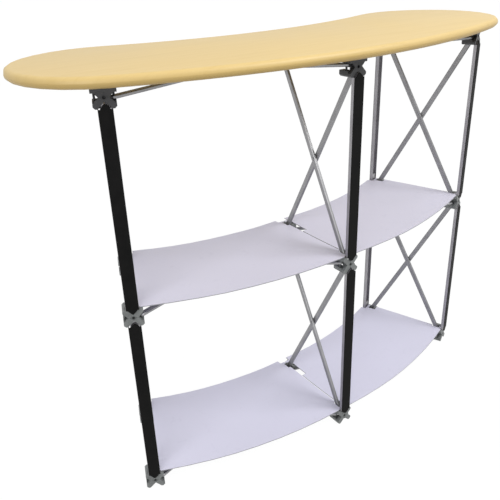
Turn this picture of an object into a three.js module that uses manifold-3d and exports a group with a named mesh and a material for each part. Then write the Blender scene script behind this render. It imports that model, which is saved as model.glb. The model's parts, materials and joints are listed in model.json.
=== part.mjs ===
import * as THREE from "three";
import { mergeVertices } from "three/addons/utils/BufferGeometryUtils.js";
import Module from "manifold-3d";

// Curved folding bar: six columns of moulded hubs on three levels, held apart by
// scissor bars, stiffened by clip-on posts, with four sheet shelves and a bull-nosed top.
// Millimetres, +Z up, -Y is the convex front, the origin is under the middle of the box.

const wasm = await Module();
wasm.setup();

// Frame layout
const TIER_HEIGHT = 444; // hub centre to hub centre in one storey
const BAY_WIDTH = 504; // front hub to front hub, straight across
const FRAME_DEPTH = 226.6; // front pivot line to back pivot line
const FAN_ANGLE = THREE.MathUtils.degToRad(22); // turn from one column to the next

// Moulded hub
const HUB_WIDTH = 42;
const HUB_HEIGHT = 40;
const HUB_FACE = 17; // pivot line to the outer face
const HUB_PLATE = 9; // thickness of the cross-shaped face plate
const HUB_CORNER = 4; // chamfer of the four arms
const HUB_ARM_SIDE = 8; // end of an arm down to the V beside it
const HUB_V_INSET = 0.5; // the V above and below is narrower than the post by this on each side
const SLOT_PLAY = 0.2; // a pair of bars to the sides of its clevis
const LEVEL_CORE_PLAY = 1; // end of a level bar to the core
const UPRIGHT_CORE_PLAY = 0.6; // end of an upright bar to the core
const MOULD_LAP = 1; // how far joined forms of one moulding reach into each other
const HUB_HOLE_RADIUS = 3.2;
const HUB_HOLE_DEPTH = 6;
const PAD_THICKNESS = 12; // solid head of the top hubs, flat for the counter top
const PAD_SIDE = 2; // head beyond each side of the hub
const UPRIGHT_PIN = 9.5; // hub centre to the pins of the upright scissors
const LEVEL_PIN = 17; // hub centre to the pins of the level scissors
const PIN_RADIUS = 2.2;

// Scissor bars
const BAR_WIDTH = 13;
const BAR_THICKNESS = 6.6;
const BAR_EDGE = 1.6; // eased long edges
const BAR_GAP = 0.6; // play between two crossing bars
const PIN_PLAY = 0.3;
const OPEN_EYE_PLAY = 1.9; // loose eye of the bars that close each level scissor
const RIVET_HEAD_RADIUS = 4;
const RIVET_HEAD_HEIGHT = 1.2;
const RIVET_ROOT = 0.4; // part of a rivet head sunk in what carries it
const RIVET_HEAD_PLAY = 0.2; // extra room under the far head
const RIVET_PIN_LAP = 0.5; // part of the pin inside the far head

// Clip-on posts
const POST_WIDTH = 27;
const POST_DEPTH = 8;
const POST_WALL = 1.6;
const POST_PROUD = 3; // how far the post face stands out from the hub face
const TONGUE_LENGTH = 9;
const TONGUE_WIDTH = 19;
const TONGUE_THICKNESS = 6;
const TONGUE_ROOT = 18; // part of the tongue held inside the channel
const TONGUE_SET_BACK = 0.4; // face of the post to the face of its tongue

// Shelf sheets
const SHEET_THICKNESS = 2;
const SHEET_FRONT = 13; // front edge ahead of the front pivot line
const SHEET_BACK = 25.4; // back edge behind the back pivot line
const SHEET_SEAM = 1.5; // side edge to the plane of its column
const SHEET_SAG = 7;
const SHEET_POST_SIDE = 1.5; // sheet to the side of a post
const SHEET_POST_BACK = 0.6; // sheet to the open back of a post
const SHEET_TRIM = 8; // waste around the sheet before it is cut out
const SHEET_TRIM_ANGLE = 0.03; // the same at its two ends, in radians
const SHEET_CUT_REACH = 10; // the cut goes this far beyond the sag
const SHEET_OVERHANG = 12; // right-hand back corner beyond the plane of its column
const BAR_NOTCH = { start: -4, length: 22, depth: 8.5 };
const BACK_SLOT = { length: 72, depth: 14 };

// Counter top
const TOP_THICKNESS = 22;
const TOP_FRONT = 57.5; // overhang ahead of the front pivot line
const TOP_BACK = 85; // overhang behind the back pivot line
const TOP_END_ANGLE = THREE.MathUtils.degToRad(21.54); // centre of each half-round end

const CLEARANCE = 0.3;

// Values worked out from the dimensions above
const ARC_RADIUS = BAY_WIDTH / 2 / Math.sin(FAN_ANGLE / 2);
const BAR_OFFSET = (BAR_THICKNESS + BAR_GAP) / 2;
const SLOT_HALF = BAR_THICKNESS + BAR_GAP + SLOT_PLAY;
const HALF_WIDTH = HUB_WIDTH / 2;
const HALF_HEIGHT = HUB_HEIGHT / 2;
const PLATE_BACK = HUB_FACE - HUB_PLATE;
const TOP_OUTER = ARC_RADIUS + TOP_FRONT;
const TOP_INNER = ARC_RADIUS - FRAME_DEPTH - TOP_BACK;
const TOP_MIDDLE = (TOP_OUTER + TOP_INNER) / 2;
const TOP_END_RADIUS = (TOP_OUTER - TOP_INNER) / 2;
const FRONT_LIMIT = -TOP_FRONT;
const BACK_LIMIT = ARC_RADIUS - TOP_MIDDLE * Math.cos(TOP_END_ANGLE) + TOP_END_RADIUS;
const ARC_CENTRE_Y = ARC_RADIUS - (FRONT_LIMIT + BACK_LIMIT) / 2;

const COLUMNS = { left: -FAN_ANGLE, centre: 0, right: FAN_ANGLE };
const LEVELS = { bottom: 0, mid: 1, top: 2 };
const STOREYS = { lower: 0, upper: 1 };
const hubHeight = (level) => HALF_HEIGHT + level * TIER_HEIGHT;

// Materials
const plain = (color, roughness, metalness) =>
  new THREE.MeshStandardMaterial({ color, roughness, metalness });
const greyPlastic = plain(0x6e7372, 0.55, 0);
const blackPlastic = plain(0x2b2d2f, 0.5, 0);
const barAluminium = plain(0x9a9a9e, 0.38, 0.9);
const postAluminium = plain(0x8f8c91, 0.35, 0.9);
const whiteSheet = plain(0xdcd9e8, 0.6, 0);
const paleWood = plain(0xecd6a4, 0.4, 0);

// A closed geometry as a solid for joining and cutting.
function toSolid(geometry) {
  const bare = geometry.clone();
  bare.deleteAttribute("normal");
  bare.deleteAttribute("uv");
  const merged = mergeVertices(bare, 1e-3);
  return new wasm.Manifold(
    new wasm.Mesh({
      numProp: 3,
      vertProperties: new Float32Array(merged.attributes.position.array),
      triVerts: new Uint32Array(merged.index.array),
    }),
  );
}

// A joined or cut solid back as a geometry that can be drawn.
function toGeometry(solid) {
  const mesh = solid.getMesh();
  const geometry = new THREE.BufferGeometry();
  geometry.setAttribute("position", new THREE.BufferAttribute(mesh.vertProperties, 3));
  geometry.setIndex(new THREE.BufferAttribute(mesh.triVerts, 1));
  geometry.computeVertexNormals();
  return geometry;
}

const joined = (solids) => solids.reduce((sum, solid) => sum.add(solid));

function block(x, y, z) {
  const box = new THREE.BoxGeometry(x[1] - x[0], y[1] - y[0], z[1] - z[0]);
  box.translate((x[0] + x[1]) / 2, (y[0] + y[1]) / 2, (z[0] + z[1]) / 2);
  return toSolid(box);
}

// A round rod about the point `centre`, lying along the axis named by `axis`.
function rod(radius, length, axis, centre) {
  const cylinder = new THREE.CylinderGeometry(radius, radius, length, 8);
  if (axis === "x") cylinder.rotateZ(Math.PI / 2);
  if (axis === "z") cylinder.rotateX(Math.PI / 2);
  cylinder.translate(...centre);
  return toSolid(cylinder);
}

const shapeOf = (points) => new THREE.Shape(points.map(([x, y]) => new THREE.Vector2(x, y)));

// An outline drawn in X and Z, given thickness along Y from `from` to `to`.
function standingPlate(points, from, to) {
  const plate = new THREE.ExtrudeGeometry(shapeOf(points), {
    depth: to - from,
    bevelEnabled: false,
  });
  plate.rotateX(Math.PI / 2);
  plate.translate(0, to, 0);
  return toSolid(plate);
}

// The hub: a cross-shaped face plate with a V on each side, four prongs behind it that
// make two upright and two level clevises, a pin across each clevis and a blind centre hole.
function hubGeometry(withPad) {
  const topV = POST_WIDTH / 2 - HUB_V_INSET;
  const tipZ = HALF_HEIGHT - topV;
  const sideV = HALF_HEIGHT - HUB_ARM_SIDE;
  const tipX = UPRIGHT_PIN;
  const quarter = [
    [tipX, 0],
    [HALF_WIDTH, sideV],
    [HALF_WIDTH, HALF_HEIGHT - HUB_CORNER],
    [HALF_WIDTH - HUB_CORNER, HALF_HEIGHT],
    [topV, HALF_HEIGHT],
    [0, tipZ],
  ];
  const upperHalf = [
    ...quarter,
    ...quarter
      .slice(0, -1)
      .reverse()
      .map(([x, z]) => [-x, z]),
  ];
  const outline = [
    ...upperHalf,
    ...upperHalf
      .slice(1, -1)
      .reverse()
      .map(([x, z]) => [x, -z]),
  ];
  const pieces = [standingPlate(outline, -HUB_FACE, -PLATE_BACK)];

  const prong = [
    [SLOT_HALF, SLOT_HALF],
    [HALF_WIDTH, SLOT_HALF],
    [HALF_WIDTH, HALF_HEIGHT - HUB_CORNER],
    [HALF_WIDTH - HUB_CORNER, HALF_HEIGHT],
    [SLOT_HALF, HALF_HEIGHT],
  ];
  for (const sideX of [-1, 1]) {
    for (const sideZ of [-1, 1]) {
      const corner = prong.map(([x, z]) => [sideX * x, sideZ * z]);
      if (sideX * sideZ < 0) corner.reverse();
      pieces.push(standingPlate(corner, -PLATE_BACK - MOULD_LAP, HUB_FACE));
    }
  }

  const coreX = LEVEL_PIN - BAR_WIDTH / 2 - LEVEL_CORE_PLAY;
  const coreZ = UPRIGHT_PIN - BAR_WIDTH / 2 - UPRIGHT_CORE_PLAY;
  pieces.push(block([-coreX, coreX], [-PLATE_BACK - MOULD_LAP, HUB_FACE], [-coreZ, coreZ]));
  const pinLength = 2 * (SLOT_HALF + MOULD_LAP);
  for (const side of [-1, 1]) {
    pieces.push(rod(PIN_RADIUS, pinLength, "x", [0, 0, side * UPRIGHT_PIN]));
    pieces.push(rod(PIN_RADIUS, pinLength, "z", [side * LEVEL_PIN, 0, 0]));
  }
  if (withPad) {
    const padX = HALF_WIDTH + PAD_SIDE;
    const padZ = [HALF_HEIGHT - PAD_THICKNESS, HALF_HEIGHT];
    pieces.push(block([-padX, padX], [-HUB_FACE, HUB_FACE], padZ));
  }
  const hole = rod(HUB_HOLE_RADIUS, 2 * HUB_HOLE_DEPTH, "y", [0, -HUB_FACE, 0]);
  return toGeometry(joined(pieces).subtract(hole));
}

// A scissor bar along +X from its first eye at the origin, with its flat sides facing Z.
// `rivet` adds the crossing rivet: "through" passes the neighbour above, a side adds a head only.
function barGeometry(length, crossing, rivet, lastEyePlay) {
  const half = BAR_WIDTH / 2;
  const outline = new THREE.Shape();
  outline.absarc(length, 0, half, -Math.PI / 2, Math.PI / 2, false);
  outline.absarc(0, 0, half, Math.PI / 2, (3 * Math.PI) / 2, false);
  const depth = BAR_THICKNESS - 2 * BAR_EDGE;
  const strip = new THREE.ExtrudeGeometry(outline, {
    depth,
    curveSegments: 3,
    bevelThickness: BAR_EDGE,
    bevelSize: BAR_EDGE,
    bevelOffset: -BAR_EDGE,
    bevelSegments: 1,
  });
  strip.translate(0, 0, -depth / 2);
  let bar = toSolid(strip);
  const through = 2 * BAR_THICKNESS;
  bar = bar.subtract(rod(PIN_RADIUS + PIN_PLAY, through, "z", [0, 0, 0]));
  bar = bar.subtract(rod(PIN_RADIUS + lastEyePlay, through, "z", [length, 0, 0]));
  const face = BAR_THICKNESS / 2;
  const headAt = (side, base) =>
    rod(RIVET_HEAD_RADIUS, RIVET_HEAD_HEIGHT + RIVET_ROOT, "z", [
      crossing,
      0,
      side * (base + (RIVET_HEAD_HEIGHT - RIVET_ROOT) / 2),
    ]);
  if (rivet === "hole") {
    bar = bar.subtract(rod(PIN_RADIUS + PIN_PLAY, through, "z", [crossing, 0, 0]));
  } else if (rivet === "through") {
    const farFace = 3 * face + BAR_GAP + CLEARANCE;
    bar = bar.add(headAt(-1, face));
    const pinEnd = farFace + RIVET_PIN_LAP;
    bar = bar.add(rod(PIN_RADIUS, pinEnd, "z", [crossing, 0, pinEnd / 2]));
    bar = bar.add(headAt(1, farFace + RIVET_HEAD_PLAY));
  } else {
    bar = bar.add(headAt(rivet === "above" ? 1 : -1, face));
  }
  return toGeometry(bar);
}

// The post: an open channel with a pointed tongue at each end that nests in the hub's V.
// It stands on the seat height z = 0 of the hub below it, with its face towards -Y.
function postGeometry() {
  const half = POST_WIDTH / 2;
  const face = -HUB_FACE - POST_PROUD;
  const back = face + POST_DEPTH;
  const length = TIER_HEIGHT - HUB_HEIGHT - 2 * CLEARANCE;
  const channel = new THREE.ExtrudeGeometry(
    shapeOf([
      [-half, back],
      [-half, face],
      [half, face],
      [half, back],
      [half - POST_WALL, back],
      [half - POST_WALL, face + POST_WALL],
      [-half + POST_WALL, face + POST_WALL],
      [-half + POST_WALL, back],
    ]),
    { depth: length, bevelEnabled: false },
  );
  const w = TONGUE_WIDTH / 2;
  const tongue = [
    [w, TONGUE_ROOT],
    [-w, TONGUE_ROOT],
    [-w, 0],
    [-0.76 * w, -0.36 * TONGUE_LENGTH],
    [-0.46 * w, -0.72 * TONGUE_LENGTH],
    [-0.16 * w, -TONGUE_LENGTH],
    [0.16 * w, -TONGUE_LENGTH],
    [0.46 * w, -0.72 * TONGUE_LENGTH],
    [0.76 * w, -0.36 * TONGUE_LENGTH],
    [w, 0],
  ];
  const upperTongue = tongue.map(([x, z]) => [x, length - z]).reverse();
  const from = face + TONGUE_SET_BACK;
  const to = face + TONGUE_THICKNESS;
  return toGeometry(
    joined([
      toSolid(channel),
      standingPlate(tongue, from, to),
      standingPlate(upperTongue, from, to),
    ]),
  );
}

// A point of the plan given in the frame of a column: x along the arc, y from front to back.
function planPoint(columnAngle, x, y) {
  const radius = ARC_RADIUS - y;
  return [
    x * Math.cos(columnAngle) + radius * Math.sin(columnAngle),
    ARC_CENTRE_Y + x * Math.sin(columnAngle) - radius * Math.cos(columnAngle),
  ];
}

function arcPoints(radius, fromAngle, toAngle, steps) {
  const points = [];
  for (let i = 0; i <= steps; i++) {
    const angle = fromAngle + ((toAngle - fromAngle) * i) / steps;
    points.push([radius * Math.sin(angle), ARC_CENTRE_Y - radius * Math.cos(angle)]);
  }
  return points;
}

// One side edge of a shelf sheet, front to back, as distances from the column's plane. It is
// notched for the bars that rise from both hubs, and stands off the posts at both ends.
function sheetSide(backNotch, overhang) {
  const postInner = HUB_FACE + POST_PROUD - POST_DEPTH - SHEET_POST_BACK;
  const postSide = POST_WIDTH / 2 + SHEET_POST_SIDE;
  const frontNotch = [BAR_NOTCH.start, BAR_NOTCH.start + BAR_NOTCH.length];
  const notchEnd = FRAME_DEPTH - BAR_NOTCH.start;
  const notchStart = notchEnd - backNotch.length;
  return [
    [postSide, -SHEET_FRONT],
    [postSide, -postInner],
    [SHEET_SEAM, -postInner],
    [SHEET_SEAM, frontNotch[0]],
    [BAR_NOTCH.depth, frontNotch[0]],
    [BAR_NOTCH.depth, frontNotch[1]],
    [SHEET_SEAM, frontNotch[1]],
    [SHEET_SEAM - overhang, notchStart],
    [backNotch.depth, notchStart],
    [backNotch.depth, notchEnd],
    [SHEET_SEAM - overhang, notchEnd],
    [SHEET_SEAM - overhang, FRAME_DEPTH + postInner],
    [postSide, FRAME_DEPTH + postInner],
    [postSide, FRAME_DEPTH + SHEET_BACK],
  ];
}

// A shelf sheet between two neighbouring columns: an arc in front and behind, a long slot by
// the back hub on its left, and a little sag between the hubs it rests on.
function shelfGeometry(fromAngle, toAngle, rightOverhang) {
  const frontY = -SHEET_FRONT;
  const backY = FRAME_DEPTH + SHEET_BACK;
  const postSide = POST_WIDTH / 2 + SHEET_POST_SIDE;
  const rightEdge = sheetSide(BAR_NOTCH, rightOverhang).map(([x, y]) =>
    planPoint(toAngle, -x, y),
  );
  const leftEdge = sheetSide(BACK_SLOT, 0)
    .map(([x, y]) => planPoint(fromAngle, x, y))
    .reverse();
  const inset = (y) => Math.asin(postSide / (ARC_RADIUS - y));
  const back = arcPoints(ARC_RADIUS - backY, toAngle - inset(backY), fromAngle + inset(backY), 8);
  const front = arcPoints(
    ARC_RADIUS - frontY,
    fromAngle + inset(frontY),
    toAngle - inset(frontY),
    8,
  );
  const outline = [...rightEdge, ...back.slice(1, -1), ...leftEdge, ...front.slice(1, -1)];
  const reach = SHEET_SAG + SHEET_CUT_REACH;
  const prism = new THREE.ExtrudeGeometry(shapeOf(outline), {
    depth: 2 * reach,
    bevelEnabled: false,
  });
  prism.translate(0, 0, -reach);

  const across = 10;
  const along = 6;
  const slab = new THREE.BoxGeometry(1, 1, SHEET_THICKNESS, across, along, 1);
  const place = slab.attributes.position;
  for (let i = 0; i < place.count; i++) {
    const u = place.getX(i) + 0.5;
    const v = place.getY(i) + 0.5;
    const angle = fromAngle - SHEET_TRIM_ANGLE + (toAngle - fromAngle + 2 * SHEET_TRIM_ANGLE) * u;
    const radius = ARC_RADIUS - frontY + SHEET_TRIM - (backY - frontY + 2 * SHEET_TRIM) * v;
    const span = THREE.MathUtils.clamp((u - 1 / across) / (1 - 2 / across), 0, 1);
    const hang = (1 - (2 * span - 1) ** 2) * (0.5 + 0.5 * (1 - (2 * v - 1) ** 2));
    place.setXYZ(
      i,
      radius * Math.sin(angle),
      ARC_CENTRE_Y - radius * Math.cos(angle),
      place.getZ(i) + SHEET_THICKNESS / 2 - SHEET_SAG * hang,
    );
  }
  return toGeometry(toSolid(slab).intersect(toSolid(prism)));
}

// The counter top: two concentric arcs joined by half-round ends, with a full bull-nose.
function topGeometry() {
  const outline = arcPoints(TOP_OUTER, -TOP_END_ANGLE, TOP_END_ANGLE, 26);
  const endCap = (side) => {
    const angle = side * TOP_END_ANGLE;
    const points = [];
    for (let i = 1; i < 14; i++) {
      const turn = (Math.PI * i) / 14;
      const outward = TOP_MIDDLE + TOP_END_RADIUS * Math.cos(turn);
      const beyond = side * TOP_END_RADIUS * Math.sin(turn);
      points.push(planPoint(angle, beyond, ARC_RADIUS - outward));
    }
    return points;
  };
  outline.push(...endCap(1));
  outline.push(...arcPoints(TOP_INNER, TOP_END_ANGLE, -TOP_END_ANGLE, 22));
  outline.push(...endCap(-1).reverse());
  const nose = 0.49 * TOP_THICKNESS;
  const depth = TOP_THICKNESS - 2 * nose;
  const board = new THREE.ExtrudeGeometry(shapeOf(outline), {
    depth,
    bevelThickness: nose,
    bevelSize: nose,
    bevelOffset: -nose,
    bevelSegments: 4,
  });
  board.translate(0, 0, nose);
  return board;
}

const bar = new THREE.Group();
bar.name = "folding_portable_bar";

function addMesh(parent, name, geometry, material) {
  const mesh = new THREE.Mesh(geometry, material);
  mesh.name = name;
  parent.add(mesh);
  return mesh;
}

// Each column has its own group, turned about the centre of the arc.
const columnGroups = {};
for (const [column, angle] of Object.entries(COLUMNS)) {
  const turned = new THREE.Group();
  turned.position.y = ARC_CENTRE_Y;
  turned.rotation.z = angle;
  const group = new THREE.Group();
  group.position.y = -ARC_RADIUS;
  turned.add(group);
  bar.add(turned);
  columnGroups[column] = group;
}

// Hubs: the back ones are the same moulding turned to face the other way.
const hub = hubGeometry(false);
const topHub = hubGeometry(true);
for (const column of Object.keys(COLUMNS)) {
  for (const [levelName, level] of Object.entries(LEVELS)) {
    const isTop = levelName === "top";
    for (const row of ["front", "back"]) {
      const mesh = addMesh(
        columnGroups[column],
        `hub_${row}_${column}_${levelName}`,
        isTop ? topHub : hub,
        isTop ? blackPlastic : greyPlastic,
      );
      mesh.position.z = hubHeight(level);
      if (row === "back") {
        mesh.position.y = FRAME_DEPTH;
        mesh.rotation.z = Math.PI;
      }
    }
  }
}

// Places a bar with its first eye at `from`, its last eye at `to` and its +Z along `normal`.
function placeBar(mesh, from, to, normal) {
  const along = new THREE.Vector3().subVectors(to, from).normalize();
  const across = new THREE.Vector3().crossVectors(normal, along);
  const turn = new THREE.Matrix4().makeBasis(along, across, normal);
  mesh.quaternion.setFromRotationMatrix(turn);
  mesh.position.copy(from);
}

// Upright scissors: in each column and storey one bar rises to the back and one to the front.
const rise = TIER_HEIGHT - 2 * UPRIGHT_PIN;
const braceLength = Math.hypot(rise, FRAME_DEPTH);
const risingBrace = barGeometry(braceLength, braceLength / 2, "through", PIN_PLAY);
const fallingBrace = barGeometry(braceLength, braceLength / 2, "hole", PIN_PLAY);
const sideways = new THREE.Vector3(1, 0, 0);
for (const column of Object.keys(COLUMNS)) {
  for (const [storeyName, storey] of Object.entries(STOREYS)) {
    const low = hubHeight(storey) + UPRIGHT_PIN;
    const high = low + rise;
    const rising = addMesh(
      columnGroups[column],
      `brace_${column}_${storeyName}_rising_back`,
      risingBrace,
      barAluminium,
    );
    const risingFrom = new THREE.Vector3(-BAR_OFFSET, 0, low);
    const risingTo = new THREE.Vector3(-BAR_OFFSET, FRAME_DEPTH, high);
    placeBar(rising, risingFrom, risingTo, sideways);
    const falling = addMesh(
      columnGroups[column],
      `brace_${column}_${storeyName}_rising_front`,
      fallingBrace,
      barAluminium,
    );
    const fallingFrom = new THREE.Vector3(BAR_OFFSET, FRAME_DEPTH, low);
    const fallingTo = new THREE.Vector3(BAR_OFFSET, 0, high);
    placeBar(falling, fallingFrom, fallingTo, sideways);
  }
}

// Level scissors: in each bay and level one bar starts at the front of the middle column and
// one at the front of the outer column. The crossing lies nearer the narrow back.
const pinChord = (chord) => chord - 2 * LEVEL_PIN * Math.cos(FAN_ANGLE / 2);
const frontChord = pinChord(BAY_WIDTH);
const backChord = pinChord(BAY_WIDTH - 2 * FRAME_DEPTH * Math.sin(FAN_ANGLE / 2));
const spreaderLength = Math.sqrt(FRAME_DEPTH ** 2 + frontChord * backChord);
const spreaderCrossing = (spreaderLength * frontChord) / (frontChord + backChord);
const middleSpreader = barGeometry(spreaderLength, spreaderCrossing, "above", PIN_PLAY);
const outerSpreader = barGeometry(spreaderLength, spreaderCrossing, "below", OPEN_EYE_PLAY);
const upwards = new THREE.Vector3(0, 0, 1);
for (const side of ["left", "right"]) {
  const outward = side === "left" ? -1 : 1;
  const pin = (column, y, z) => {
    const x = column === "centre" ? outward * LEVEL_PIN : -outward * LEVEL_PIN;
    return new THREE.Vector3(...planPoint(COLUMNS[column], x, y), z);
  };
  for (const [levelName, level] of Object.entries(LEVELS)) {
    const upperZ = hubHeight(level) + BAR_OFFSET;
    const lowerZ = hubHeight(level) - BAR_OFFSET;
    const fromMiddle = addMesh(
      bar,
      `spreader_${side}_${levelName}_from_middle`,
      middleSpreader,
      barAluminium,
    );
    placeBar(fromMiddle, pin("centre", 0, upperZ), pin(side, FRAME_DEPTH, upperZ), upwards);
    const fromOuter = addMesh(
      bar,
      `spreader_${side}_${levelName}_from_outer`,
      outerSpreader,
      barAluminium,
    );
    placeBar(fromOuter, pin(side, 0, lowerZ), pin("centre", FRAME_DEPTH, lowerZ), upwards);
  }
}

// Posts: on all three front columns and on the two outer back columns.
const post = postGeometry();
const postPlaces = [
  ["front", "left"],
  ["front", "centre"],
  ["front", "right"],
  ["back", "left"],
  ["back", "right"],
];
for (const [row, column] of postPlaces) {
  for (const [storeyName, storey] of Object.entries(STOREYS)) {
    const mesh = addMesh(
      columnGroups[column],
      `post_${row}_${column}_${storeyName}`,
      post,
      postAluminium,
    );
    mesh.position.z = hubHeight(storey) + HALF_HEIGHT + CLEARANCE;
    if (row === "back") {
      mesh.position.y = FRAME_DEPTH;
      mesh.rotation.z = Math.PI;
    }
  }
}

// Shelf sheets: one in each bay on the bottom and middle levels.
for (const levelName of ["bottom", "mid"]) {
  for (const side of ["left", "right"]) {
    const from = Math.min(COLUMNS[side], COLUMNS.centre);
    const to = Math.max(COLUMNS[side], COLUMNS.centre);
    const sheet = shelfGeometry(from, to, side === "right" ? SHEET_OVERHANG : 0);
    const shelf = addMesh(bar, `shelf_${side}_${levelName}`, sheet, whiteSheet);
    shelf.position.z = hubHeight(LEVELS[levelName]) + HALF_HEIGHT + CLEARANCE;
  }
}

const counterTop = addMesh(bar, "counter_top", topGeometry(), paleWood);
counterTop.position.z = hubHeight(LEVELS.top) + HALF_HEIGHT + CLEARANCE;

export default bar;
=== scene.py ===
import json
import math

import bmesh
import bpy
from mathutils import Matrix, Vector, noise


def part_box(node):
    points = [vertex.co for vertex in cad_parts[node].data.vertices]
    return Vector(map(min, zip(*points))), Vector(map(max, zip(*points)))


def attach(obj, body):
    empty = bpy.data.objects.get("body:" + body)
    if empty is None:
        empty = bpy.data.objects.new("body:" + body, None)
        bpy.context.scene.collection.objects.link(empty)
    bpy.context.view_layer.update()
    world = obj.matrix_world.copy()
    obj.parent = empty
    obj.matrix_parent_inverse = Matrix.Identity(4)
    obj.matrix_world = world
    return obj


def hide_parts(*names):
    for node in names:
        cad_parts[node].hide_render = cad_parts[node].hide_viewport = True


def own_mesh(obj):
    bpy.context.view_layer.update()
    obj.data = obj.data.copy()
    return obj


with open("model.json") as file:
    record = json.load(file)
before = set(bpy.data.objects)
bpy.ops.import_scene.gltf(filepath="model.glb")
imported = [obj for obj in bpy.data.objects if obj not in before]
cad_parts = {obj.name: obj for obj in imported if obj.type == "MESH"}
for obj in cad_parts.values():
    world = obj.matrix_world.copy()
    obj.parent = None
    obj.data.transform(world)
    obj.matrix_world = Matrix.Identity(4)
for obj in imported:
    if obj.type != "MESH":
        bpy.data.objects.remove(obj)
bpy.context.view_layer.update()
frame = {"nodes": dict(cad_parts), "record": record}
NODES = frame["nodes"]
BODY_OF_NODE = {
    node: body
    for body, nodes in frame["record"]["behaviour"]["bodies"].items()
    for node in nodes
}

# Frame plan, in metres: three columns fan out along an arc about one centre.
ARC_RADIUS = 1.3206925
ARC_CENTRE_Y = 1.1519613
FAN_ANGLE = math.radians(22)
FRAME_DEPTH = 0.2266
COLUMN_ANGLES = {"left": -FAN_ANGLE, "centre": 0.0, "right": FAN_ANGLE}


def plan_point(angle, x, y, z):
    """A point given along and across a column of the frame."""
    radius = ARC_RADIUS - y
    return Vector((
        x * math.cos(angle) + radius * math.sin(angle),
        ARC_CENTRE_Y + x * math.sin(angle) - radius * math.cos(angle),
        z,
    ))


class Shader:
    """A small helper that wires one node material."""

    def __init__(self, name):
        self.material = bpy.data.materials.new(name)
        self.material.use_nodes = True
        self.tree = self.material.node_tree
        self.surface = self.tree.nodes["Principled BSDF"]
        coords = self.tree.nodes.new("ShaderNodeTexCoord")
        self.place = coords.outputs["Object"]

    def node(self, kind, inputs=None, **settings):
        made = self.tree.nodes.new(kind)
        for key, value in settings.items():
            setattr(made, key, value)
        for key, value in (inputs or {}).items():
            self.put(made.inputs[key], value)
        return made

    def put(self, socket, value):
        if isinstance(value, bpy.types.NodeSocket):
            self.tree.links.new(value, socket)
        else:
            socket.default_value = value

    def set(self, **values):
        for key, value in values.items():
            self.put(self.surface.inputs[key.replace("_", " ")], value)

    def scaled(self, scale):
        return self.node(
            "ShaderNodeMapping", {"Vector": self.place, "Scale": scale}
        ).outputs["Vector"]

    def noise(self, scale, detail=4.0, rough=0.55, place=None, distortion=0.0):
        return self.node("ShaderNodeTexNoise", {
            "Vector": place or self.place,
            "Scale": scale,
            "Detail": detail,
            "Roughness": rough,
            "Distortion": distortion,
        }).outputs["Fac"]

    def ramp(self, fac, *stops):
        made = self.node("ShaderNodeValToRGB", {"Fac": fac})
        elements = made.color_ramp.elements
        while len(elements) < len(stops):
            elements.new(0.5)
        for element, (position, colour) in zip(elements, stops):
            element.position = position
            element.color = (*colour, 1.0)
        return made.outputs["Color"]

    def spread(self, fac, low, high):
        return self.node("ShaderNodeMapRange", {
            "Value": fac,
            "From Min": 0.3,
            "From Max": 0.7,
            "To Min": low,
            "To Max": high,
        }).outputs["Result"]

    def mix(self, fac, first, second, blend="MIX"):
        made = self.node("ShaderNodeMix", data_type="RGBA", blend_type=blend)
        self.put(made.inputs["Factor"], fac)
        self.put(made.inputs["A"], first)
        self.put(made.inputs["B"], second)
        return made.outputs["Result"]

    def bump(self, height, strength, distance):
        made = self.node("ShaderNodeBump", {
            "Height": height,
            "Strength": strength,
            "Distance": distance,
        })
        self.set(Normal=made.outputs["Normal"])

    def painted_edge_highlight(self, low, high):
        """Painted highlight: lighter along corners, from how the surface bends."""
        pointed = self.node("ShaderNodeNewGeometry").outputs["Pointiness"]
        return self.node("ShaderNodeMapRange", {
            "Value": pointed,
            "From Min": low,
            "From Max": high,
        }).outputs["Result"]


def wood_material():
    s = Shader("pale_beech")
    long_grain = s.noise(7.0, 6.0, 0.6, s.scaled((0.55, 9.0, 0.8)), 0.6)
    fine_grain = s.noise(34.0, 5.0, 0.6, s.scaled((0.5, 12.0, 1.0)))
    cloud = s.noise(2.4, 2.0)
    base = s.ramp(
        long_grain,
        (0.25, (0.744, 0.545, 0.217)),
        (0.50, (0.771, 0.569, 0.235)),
        (0.75, (0.793, 0.590, 0.253)),
    )
    flecks = s.ramp(
        fine_grain, (0.33, (0.90, 0.86, 0.78)), (0.47, (1.0, 1.0, 1.0))
    )
    shade = s.ramp(cloud, (0.3, (0.95, 0.94, 0.92)), (0.7, (1.0, 1.0, 1.0)))
    # Painted shade: the wood turns a darker, deeper yellow as its surface turns from facing up to facing
    # down, over the bullnose and the underside.
    normal = s.node("ShaderNodeNewGeometry").outputs["Normal"]
    upward = s.node("ShaderNodeSeparateXYZ", {0: normal}).outputs["Z"]
    painted_underside_shade = s.node("ShaderNodeMapRange", {
        "Value": upward,
        "From Min": 0.90,
        "From Max": -0.40,
    }).outputs["Result"]
    veneer = s.mix(1.0, s.mix(0.28, base, flecks, "MULTIPLY"), shade, "MULTIPLY")
    s.set(Base_Color=s.mix(painted_underside_shade, veneer, (0.520, 0.360, 0.118, 1.0)))
    s.set(Roughness=s.spread(cloud, 0.42, 0.52), Coat_Weight=0.06, Coat_Roughness=0.30)
    s.bump(fine_grain, 0.05, 0.0004)
    return s.material


def plastic_material(name, dark, light, rough):
    s = Shader(name)
    mottle = s.noise(60.0, 4.0)
    grain = s.noise(900.0, 2.0)
    base = s.ramp(mottle, (0.3, dark), (0.7, light))
    # Painted highlight: the plastic is lightened along its corners.
    edge = s.painted_edge_highlight(0.52, 0.62)
    highlight_colour = tuple(min(1.0, channel * 1.7 + 0.02) for channel in light)
    s.set(Base_Color=s.mix(edge, base, (*highlight_colour, 1.0)))
    s.set(Roughness=s.spread(mottle, rough - 0.08, rough + 0.08))
    s.bump(grain, 0.12, 0.0003)
    return s.material


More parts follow.
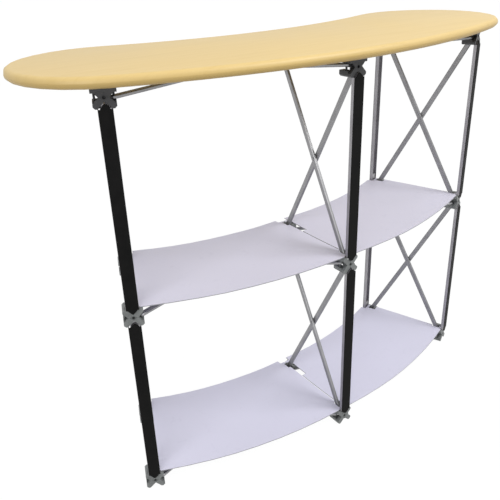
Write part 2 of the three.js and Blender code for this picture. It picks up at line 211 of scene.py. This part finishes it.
def metal_material(name, dark, light, metallic, rough):
    s = Shader(name)
    streak = s.noise(26.0, 5.0, 0.6)
    scratch = s.noise(420.0, 3.0, 0.7)
    s.set(Base_Color=s.ramp(streak, (0.3, dark), (0.7, light)))
    s.set(Metallic=metallic, Roughness=s.spread(scratch, rough - 0.07, rough + 0.07))
    s.bump(scratch, 0.04, 0.0002)
    return s.material


def sheet_material(name, tint):
    s = Shader(name)
    cloud = s.noise(5.0, 3.0)
    weave = s.noise(700.0, 2.0)
    scuff = s.noise(38.0, 6.0, 0.7)
    pale = tuple(channel * 1.03 for channel in tint)
    base = s.ramp(cloud, (0.3, tint), (0.7, pale))
    marks = s.ramp(scuff, (0.30, (0.93, 0.93, 0.94)), (0.42, (1.0, 1.0, 1.0)))
    s.set(Base_Color=s.mix(0.6, base, marks, "MULTIPLY"))
    s.set(Roughness=s.spread(cloud, 0.46, 0.58))
    s.bump(weave, 0.06, 0.0003)
    return s.material


def tape_material():
    s = Shader("black_magnetic_tape")
    rub = s.noise(45.0, 5.0, 0.65)
    grain = s.noise(650.0, 2.0)
    dark, light = (0.0045, 0.0045, 0.0045), (0.0095, 0.0092, 0.009)
    s.set(Base_Color=s.ramp(rub, (0.3, dark), (0.75, light)))
    s.set(Roughness=s.spread(rub, 0.50, 0.68), Specular_IOR_Level=0.07)
    s.bump(grain, 0.10, 0.0002)
    return s.material


WOOD = wood_material()
GREY_PLASTIC = plastic_material("grey_moulding", (0.078, 0.084, 0.083), (0.120, 0.127, 0.126), 0.50)
# The top hubs get a far darker plastic than the middle and bottom hubs.
TOP_HUB_DARK_PLASTIC = plastic_material("black_moulding", (0.008, 0.008, 0.009), (0.016, 0.016, 0.018), 0.46)
BAR_METAL = metal_material("bar_satin_metal", (0.270, 0.270, 0.278), (0.350, 0.350, 0.358), 0.85, 0.43)
POST_METAL = metal_material("post_satin_metal", (0.300, 0.292, 0.308), (0.390, 0.382, 0.398), 0.85, 0.34)
SHEET = sheet_material("white_sheet", (0.686, 0.675, 0.804))
# Painted shade: the sheet's side faces get a darker grey copy of the sheet.
SHEET_SIDE_SHADE = sheet_material("sheet_side_painted_shade", (0.33, 0.33, 0.36))
TAPE = tape_material()


def finish_of(node):
    if node == "counter_top":
        return WOOD
    if node.startswith("hub"):
        # The top hubs take the darker plastic.
        return TOP_HUB_DARK_PLASTIC if node.endswith("_top") else GREY_PLASTIC
    if node.startswith("post"):
        return POST_METAL
    if node.startswith("shelf"):
        return SHEET
    return BAR_METAL


for name, node in NODES.items():
    node.data.materials.clear()
    node.data.materials.append(finish_of(name))

# The solids come as loose triangles: their corners are joined, so that round stretches such as the
# top's bullnose shade smoothly, and parted again where they are sharp.
SHARP_ANGLE = math.radians(40)


def soften(node):
    mesh = node.data
    mesh.attributes.remove(mesh.attributes["custom_normal"])
    mesh.polygons.foreach_set("use_smooth", [True] * len(mesh.polygons))
    node.modifiers.new("join_corners", "WELD").merge_threshold = 1e-5
    node.modifiers.new("crisp_corners", "EDGE_SPLIT").split_angle = SHARP_ANGLE


for node in NODES.values():
    soften(node)


def add_piece(name, mesh, body, material):
    piece = bpy.data.objects.new(name, mesh)
    bpy.context.scene.collection.objects.link(piece)
    mesh.materials.append(material)
    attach(piece, body)
    return piece


# Black magnetic tape covers the outer face of every post, down over its pointed tongues.
TAPE_WIDTH = 0.0262
TAPE_THICKNESS = 0.0012
POST_FACE = 0.020
TONGUE_LENGTH = 0.009
TONGUE_OUTLINE = ((1.0, 0.0), (0.76, 0.36), (0.46, 0.72), (0.16, 1.0))
TONGUE_WIDTH = 0.019
POST_END = 0.0090  # part of a post's box that its tongue takes up at each end


def tape_mesh(name, length, matrix):
    """A strip with both ends cut to the post's tongue, face towards -Y, standing on z = 0."""
    half = TAPE_WIDTH / 2
    ends = [(TONGUE_WIDTH / 2 * x, -TONGUE_LENGTH * z) for x, z in TONGUE_OUTLINE]
    low = [(half, 0.0)] + ends + [(-x, z) for x, z in reversed(ends)] + [(-half, 0.0)]
    outline = low + [(x, length - z) for x, z in reversed(low)]
    shape = bmesh.new()
    verts = [shape.verts.new((x, -POST_FACE, z)) for x, z in outline]
    face = shape.faces.new(verts)
    grown = bmesh.ops.extrude_face_region(shape, geom=[face])
    moved = [v for v in grown["geom"] if isinstance(v, bmesh.types.BMVert)]
    bmesh.ops.translate(shape, vec=(0.0, -TAPE_THICKNESS, 0.0), verts=moved)
    bmesh.ops.recalc_face_normals(shape, faces=shape.faces)
    bmesh.ops.transform(shape, matrix=matrix, verts=shape.verts)
    mesh = bpy.data.meshes.new(name)
    shape.to_mesh(mesh)
    shape.free()
    return mesh


for name in sorted(NODES):
    if not name.startswith("post"):
        continue
    row, column = name.split("_")[1:3]
    angle = COLUMN_ANGLES[column]
    low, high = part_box(name)
    foot = plan_point(angle, 0.0, 0.0 if row == "front" else FRAME_DEPTH, low[2] + POST_END)
    facing = angle if row == "front" else angle + math.pi
    turn = Matrix.Translation(foot) @ Matrix.Rotation(facing, 4, "Z")
    strip = tape_mesh("tape_" + name, high[2] - low[2] - 2 * POST_END, turn)
    add_piece("tape_" + name, strip, BODY_OF_NODE[name], TAPE)


CREASE_HEIGHT = 0.0035
CREASE_REACH = 0.085
CREASE_ROOT = 0.012  # half width at the hub
CREASE_SPREAD = 0.22  # gain in half width along the ridge
RIPPLE_HEIGHT = 0.0008
RIPPLE_SCALE = 9.0
SHEET_CELL = 0.02  # longer edges are divided so that the sheet can bend


def crease(offset, inward):
    """A soft ridge that runs from a hub in over the sheet and dies away."""
    offset, inward = offset.to_2d(), inward.to_2d().normalized()
    along = offset.dot(inward)
    across = (offset - along * inward).length
    if along <= 0.0:
        return 0.0
    half_width = CREASE_ROOT + CREASE_SPREAD * along
    rise = (along / CREASE_REACH) * math.exp(1.0 - along / CREASE_REACH)
    return CREASE_HEIGHT * rise * math.exp(-((across / half_width) ** 2))


def sheet_piece(node):
    """The shelf sheet, cut like its solid, with soft creases where it meets the hubs."""
    mesh = bpy.data.meshes.new(node + "_sheet")
    shape = bmesh.new()
    shape.from_mesh(NODES[node].data)
    bmesh.ops.remove_doubles(shape, verts=shape.verts, dist=1e-5)
    bmesh.ops.subdivide_edges(
        shape,
        edges=[e for e in shape.edges if e.calc_length() > SHEET_CELL],
        cuts=2,
        use_grid_fill=True,
    )
    shape.normal_update()
    columns = (COLUMN_ANGLES["left" if "left" in node else "right"], 0.0)
    corners = [plan_point(a, 0.0, y, 0.0) for a in columns for y in (0.0, FRAME_DEPTH)]
    middle = sum(corners, Vector()) / len(corners)
    for vert in shape.verts:
        spot = Vector((vert.co.x * RIPPLE_SCALE, vert.co.y * RIPPLE_SCALE, 3.0))
        vert.co.z += RIPPLE_HEIGHT * noise.noise(spot)
        for corner in corners:
            vert.co.z += crease(vert.co - corner, middle - corner)
    # Painted shade: faces that do not lie flat, the sheet's sides, take the darker grey copy.
    for face in shape.faces:
        lies_flat = abs(face.normal.z) > 0.5
        face.smooth = lies_flat
        face.material_index = 0 if lies_flat else 1
    shape.to_mesh(mesh)
    shape.free()
    mesh.set_sharp_from_angle(angle=SHARP_ANGLE)
    piece = add_piece(node + "_sheet", mesh, BODY_OF_NODE[node], SHEET)
    mesh.materials.append(SHEET_SIDE_SHADE)
    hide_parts(node)
    return piece


# Each shelf solid gives way to a creased sheet that moves with the shelf's body.
for node in sorted(NODES):
    if not node.startswith("shelf"):
        continue
    piece = sheet_piece(node)
    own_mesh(piece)

# Studio: a pale floor, a broad soft light above and a pale surround.
FLOOR_REACH = 40.0
FLOOR_LEVEL = -0.0015


def seen_as_background(tree):
    """1 where the surround is seen, itself or mirrored, and 0 where it only lights the object."""
    path = tree.nodes.new("ShaderNodeLightPath")
    seen = path.outputs["Is Camera Ray"]
    for ray in ("Is Glossy Ray", "Is Transmission Ray"):
        either = tree.nodes.new("ShaderNodeMath")
        either.operation = "MAXIMUM"
        tree.links.new(seen, either.inputs[0])
        tree.links.new(path.outputs[ray], either.inputs[1])
        seen = either.outputs[0]
    return seen


floor_mesh = bpy.data.meshes.new("floor")
floor_mesh.from_pydata(
    [
        (x * FLOOR_REACH, y * FLOOR_REACH, FLOOR_LEVEL)
        for x, y in ((-1, -1), (1, -1), (1, 1), (-1, 1))
    ],
    [],
    [(0, 1, 2, 3)],
)
floor = bpy.data.objects.new("floor", floor_mesh)
bpy.context.scene.collection.objects.link(floor)
paper = Shader("white_floor")
patches = paper.noise(0.6, 2.0)
paper.set(
    Base_Color=paper.ramp(patches, (0.3, (0.50, 0.50, 0.50)), (0.7, (0.54, 0.54, 0.54)))
)
paper.set(Roughness=0.9)
glow = paper.node("ShaderNodeEmission", {"Color": (1, 1, 1, 1), "Strength": 1.08})
seen = seen_as_background(paper.tree)
share = paper.node("ShaderNodeMath", {0: seen, 1: 0.90}, operation="MULTIPLY")
blend = paper.node("ShaderNodeMixShader", {"Fac": share.outputs[0]})
paper.tree.links.new(paper.surface.outputs[0], blend.inputs[1])
paper.tree.links.new(glow.outputs[0], blend.inputs[2])
paper.tree.links.new(blend.outputs[0], paper.tree.nodes["Material Output"].inputs["Surface"])
floor_mesh.materials.append(paper.material)

world = bpy.data.worlds.new("studio")
world.use_nodes = True
sky = world.node_tree.nodes["Background"]
sky.inputs["Color"].default_value = (1.0, 1.0, 1.0, 1.0)
glare = world.node_tree.nodes.new("ShaderNodeMapRange")
glare.inputs["To Min"].default_value = 0.62
glare.inputs["To Max"].default_value = 1.0
world.node_tree.links.new(seen_as_background(world.node_tree), glare.inputs["Value"])
world.node_tree.links.new(glare.outputs["Result"], sky.inputs["Strength"])
bpy.context.scene.world = world


def area_light(name, place, target, size, power):
    light = bpy.data.lights.new(name, "AREA")
    light.shape = "DISK"
    light.size = size
    light.energy = power
    lamp = bpy.data.objects.new(name, light)
    lamp.location = place
    lamp.rotation_euler = (Vector(target) - Vector(place)).to_track_quat("-Z", "Y").to_euler()
    bpy.context.scene.collection.objects.link(lamp)


area_light("key", (1.2, -1.9, 2.9), (0.0, 0.0, 0.5), 1.6, 50.0)
area_light("fill", (-2.4, -1.6, 1.7), (0.0, 0.0, 0.5), 2.2, 27.0)

# The camera stands where the photograph was taken.
CAMERA_PLACE = (-0.9065, -1.1244, 1.1380)
CAMERA_RIGHT = Vector((0.82085, -0.57014, -0.03392))
CAMERA_UP = Vector((0.27559, 0.34336, 0.89786))
CAMERA_FORWARD = Vector((0.50026, 0.74635, -0.43897))
CAMERA_LENS = 45.33
camera_data = bpy.data.cameras.new("camera")
camera_data.sensor_width = 36.0
camera_data.lens = CAMERA_LENS
camera_data.clip_end = 200.0
camera_data.dof.use_dof = False
camera = bpy.data.objects.new("camera", camera_data)
camera_axes = Matrix((CAMERA_RIGHT, CAMERA_UP, -CAMERA_FORWARD)).transposed()
camera.matrix_world = Matrix.Translation(CAMERA_PLACE) @ camera_axes.to_4x4()
bpy.context.scene.collection.objects.link(camera)
bpy.context.scene.camera = camera
bpy.context.scene.view_settings.view_transform = "Standard"
